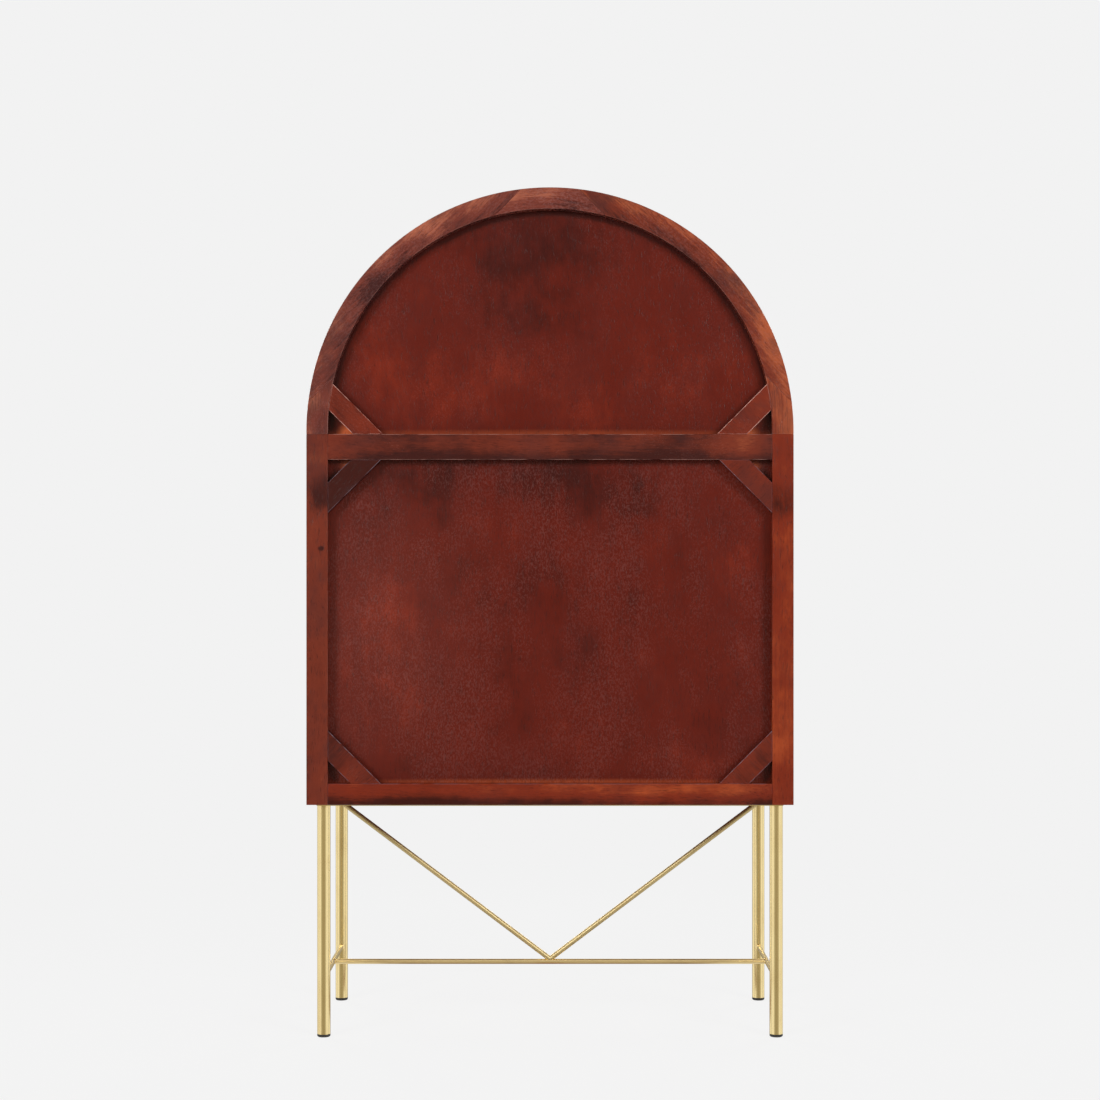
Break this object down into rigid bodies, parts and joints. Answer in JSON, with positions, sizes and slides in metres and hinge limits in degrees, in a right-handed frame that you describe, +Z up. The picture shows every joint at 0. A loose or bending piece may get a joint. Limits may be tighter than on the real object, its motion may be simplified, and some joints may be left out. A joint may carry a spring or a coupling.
{
  "type": "bar cabinet",
  "caption": "Round-headed bar cabinet with twin inset doors, shelves and stemware rails, on a slim brass-finished tubular stand.",
  "frame": {"origin": "on the floor, under the middle of the whole outline", "axes": "+Z up, doors towards -Y, framed back towards +Y, left door at -X"},
  "size_m": [0.915, 0.432, 1.6],
  "materials": {
    "wood_frame": "satin reddish brown stain",
    "wood_panel": "satin deep oxblood stain",
    "wood_case": "satin reddish brown stain",
    "stand_brass": "satin brass-coloured plating on steel tube",
    "fitting_brass": "satin",
    "glide_plastic": "matte black",
    "catch_plastic": "matte dark brown",
    "steel": "zinc plated"
  },
  "bodies": {
    "root": {"arch_shell": "wood_case", "back_panel_lower": "wood_panel", "back_panel_upper": "wood_panel", "bottom_panel": "wood_case", "corner_brace_bottom_left": "wood_frame", "corner_brace_bottom_right": "wood_frame", "corner_brace_middle_left": "wood_frame", "corner_brace_middle_right": "wood_frame", "corner_brace_upper_left": "wood_frame", "corner_brace_upper_right": "wood_frame", "foot_glides": "glide_plastic", "front_arch_crown": "wood_frame", "front_arch_left": "wood_frame", "front_arch_right": "wood_frame", "front_bottom_rail": "wood_frame", "front_stile_left": "wood_frame", "front_stile_right": "wood_frame", "hinge_case_leaves": "fitting_brass", "hinge_pins": "fitting_brass", "leg_front_left": "stand_brass", "leg_front_right": "stand_brass", "leg_rear_left": "stand_brass", "leg_rear_right": "stand_brass", "long_stretcher": "stand_brass", "lower_shelf": "wood_case", "magnetic_catches": "catch_plastic", "mid_shelf": "wood_case", "rear_arch_crown": "wood_frame", "rear_arch_foot_left": "wood_frame", "rear_arch_foot_right": "wood_frame", "rear_arch_quarter_left": "wood_frame", "rear_arch_quarter_right": "wood_frame", "rear_bottom_rail": "wood_frame", "rear_mid_rail": "wood_frame", "rear_stile_left": "wood_frame", "rear_stile_right": "wood_frame", "shelf_pins": "fitting_brass", "side_panel_left": "wood_case", "side_panel_right": "wood_case", "side_stretchers": "stand_brass", "stand_screws": "steel", "stand_top_bars": "stand_brass", "stemware_rails": "wood_case", "v_brace_rods": "stand_brass"},
    "door_left": {"door_arch_rail_left": "wood_frame", "door_bottom_rail_left": "wood_frame", "door_hinge_leaves_left": "fitting_brass", "door_hinge_stile_left": "wood_frame", "door_knob_left": "fitting_brass", "door_meeting_stile_left": "wood_frame", "door_panel_left": "wood_panel", "strike_plate_left": "steel"},
    "door_right": {"door_arch_rail_right": "wood_frame", "door_bottom_rail_right": "wood_frame", "door_hinge_leaves_right": "fitting_brass", "door_hinge_stile_right": "wood_frame", "door_knob_right": "fitting_brass", "door_meeting_stile_right": "wood_frame", "door_panel_right": "wood_panel", "strike_plate_right": "steel"}
  },
  "joints": [
    {"name": "door_left_swing", "type": "hinge", "parent": "root", "child": "door_left", "pos_m": [-0.4165, -0.1953, 0.8], "axis": [0, 0, -1], "range_deg": [0, 170]},
    {"name": "door_right_swing", "type": "hinge", "parent": "root", "child": "door_right", "pos_m": [0.4165, -0.1953, 0.8], "axis": [0, 0, 1], "range_deg": [0, 170]}
  ]
}
